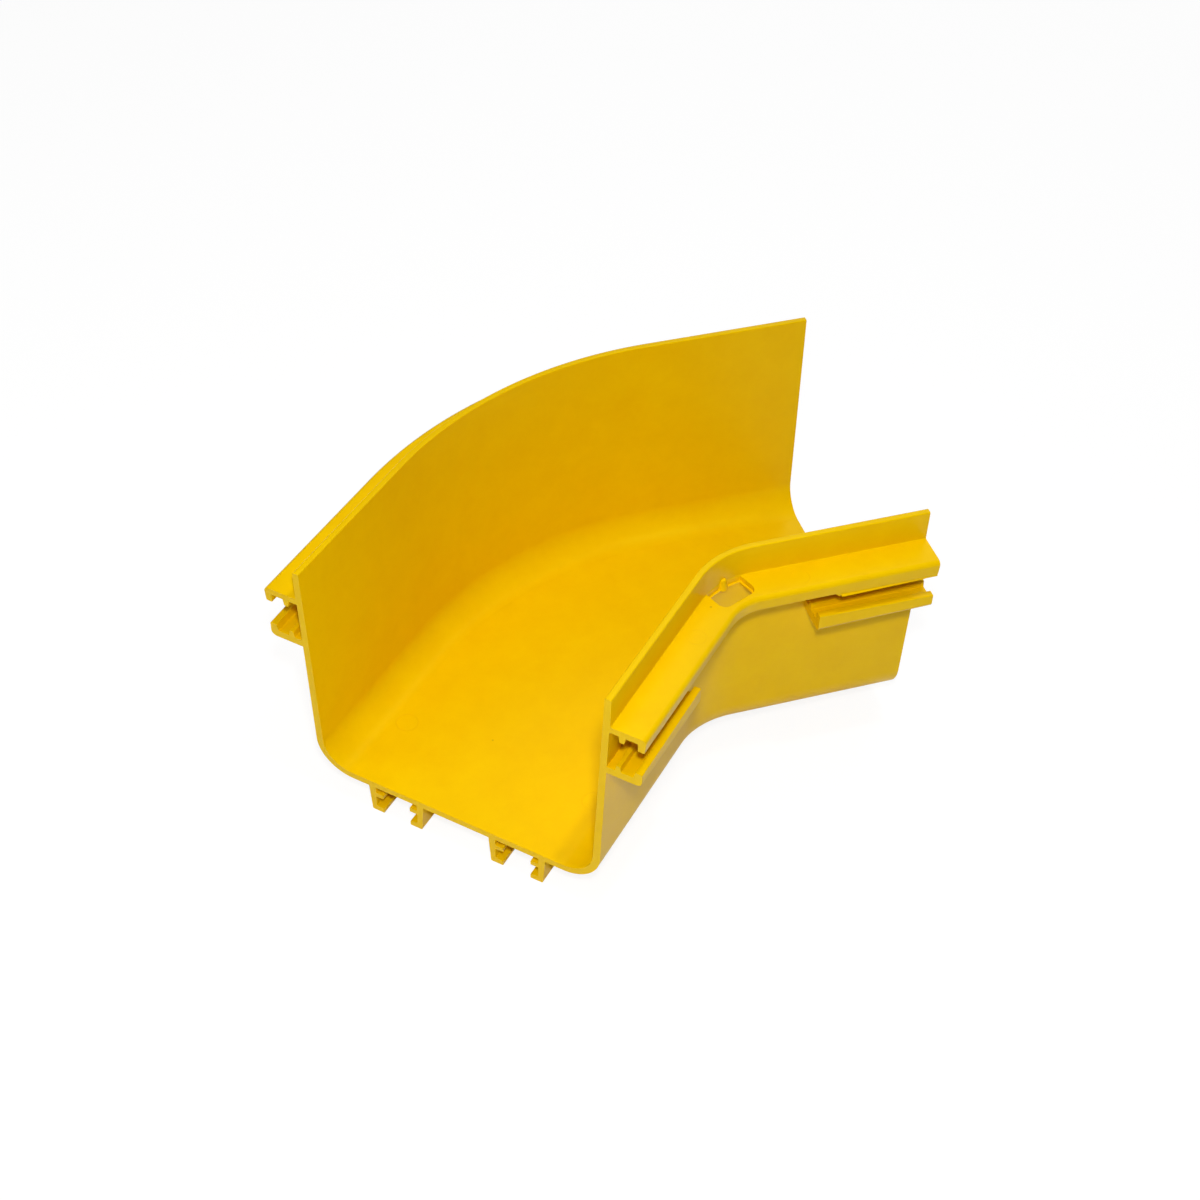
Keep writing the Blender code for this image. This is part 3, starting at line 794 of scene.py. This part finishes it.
# %% Ground
GROUND_SIZE = 8.0
GROUND_GLOW = 1.09
GROUND_GLOW_SHARE = 0.82
bpy.ops.mesh.primitive_plane_add(size=GROUND_SIZE, location=(0.0, 0.0, 0.0))
ground = bpy.context.object
ground.name = "ground"
paper = bpy.data.materials.new("white_paper")
paper.use_nodes = True
nodes = paper.node_tree
shader = nodes.nodes["Principled BSDF"]
shader.inputs["Base Color"].default_value = (0.86, 0.86, 0.86, 1.0)
shader.inputs["Roughness"].default_value = 0.9
glow = add(nodes, "ShaderNodeEmission", {"Color": (1.0, 1.0, 1.0, 1.0), "Strength": GROUND_GLOW})
rays = add(nodes, "ShaderNodeLightPath")
seen = math_node(nodes, "MULTIPLY", rays.outputs["Is Camera Ray"], GROUND_GLOW_SHARE)
lifted = add(nodes, "ShaderNodeMixShader", {0: seen, 1: shader.outputs[0], 2: glow.outputs[0]})
nodes.links.new(lifted.outputs[0], nodes.nodes["Material Output"].inputs["Surface"])
ground.data.materials.append(paper)

# %% World: white to the camera, faint in the gloss of the plastic
GLOSS_SHARE = 0.12
world = bpy.data.worlds.new("studio")
bpy.context.scene.world = world
world.use_nodes = True
nodes = world.node_tree
rays = add(nodes, "ShaderNodeLightPath")
in_gloss = math_node(nodes, "MULTIPLY", rays.outputs["Is Glossy Ray"], GLOSS_SHARE)
strength = math_node(nodes, "MAXIMUM", rays.outputs["Is Camera Ray"], in_gloss)
nodes.links.new(strength, nodes.nodes["Background"].inputs["Strength"])
nodes.nodes["Background"].inputs["Color"].default_value = (1.0, 1.0, 1.0, 1.0)


# %% Lamps, turned to the object
def softbox(name, azimuth, elevation, power, size, distance=1.6):
    """Square lamp; azimuth 0 is in front, 90 to the right, in degrees."""
    turn, tilt = math.radians(azimuth), math.radians(elevation)
    direction = Vector((math.sin(turn) * math.cos(tilt), -math.cos(turn) * math.cos(tilt),
                        math.sin(tilt)))
    lamp = bpy.data.lights.new(name, "AREA")
    lamp.size = size
    lamp.energy = power
    made = bpy.data.objects.new(name, lamp)
    made.location = direction * distance
    made.rotation_euler = (-direction).to_track_quat("-Z", "Y").to_euler()
    bpy.context.scene.collection.objects.link(made)


KEY_DISTANCE = 0.8
WIDE = 0.9
softbox("key", 319.2, 52.0, 2.95, 0.05, KEY_DISTANCE)
for name, azimuth, elevation, power, size in (
        ("rim_shadow", 4.0, 77.3, 4.6, 0.06),
        ("key_fill", 300.0, 60.0, 1.3, WIDE),
        ("overhead", 0.0, 90.0, 1.9, WIDE),
        ("right_back", 120.0, 60.0, 2.9, WIDE),
        ("right_low", 120.0, 25.0, 2.2, WIDE),
        ("left_back", 240.0, 25.0, 5.4, WIDE),
        ("front", 20.0, 20.0, 0.5, WIDE)):
    softbox(name, azimuth, elevation, power, size)
print("lamps:", len(bpy.data.lights))

# %% [markdown]
# ## Camera
#
# The place and lens of the camera were found by fitting the measured edges of the moulding to
# their pixels. It looks down at 44 degrees, turned 41 degrees to the left of the mirror plane, and
# is rolled by 1.7 degrees.

# %% Camera
SENSOR_WIDTH = 36.0
FOCAL_PIXELS = 1930.2
PHOTO_PIXELS = 1200.0
camera_data = bpy.data.cameras.new("camera")
camera_data.lens = SENSOR_WIDTH * FOCAL_PIXELS / PHOTO_PIXELS
camera_data.sensor_width = SENSOR_WIDTH
camera = bpy.data.objects.new("camera", camera_data)
bpy.context.scene.collection.objects.link(camera)
right = Vector((0.7710022, -0.6364655, 0.0216166))
up = Vector((0.4293928, 0.5446262, 0.7204194))
back_axis = right.cross(up)
camera.matrix_world = Matrix((
    (right.x, up.x, back_axis.x, -0.35922),
    (right.y, up.y, back_axis.y, -0.42143 + MEETING_Y),
    (right.z, up.z, back_axis.z, 0.45891 + WALL_TOP),
    (0.0, 0.0, 0.0, 1.0),
))
bpy.context.scene.camera = camera
bpy.context.scene.view_settings.view_transform = "Standard"
print("camera at", [round(v, 4) for v in camera.matrix_world.translation])
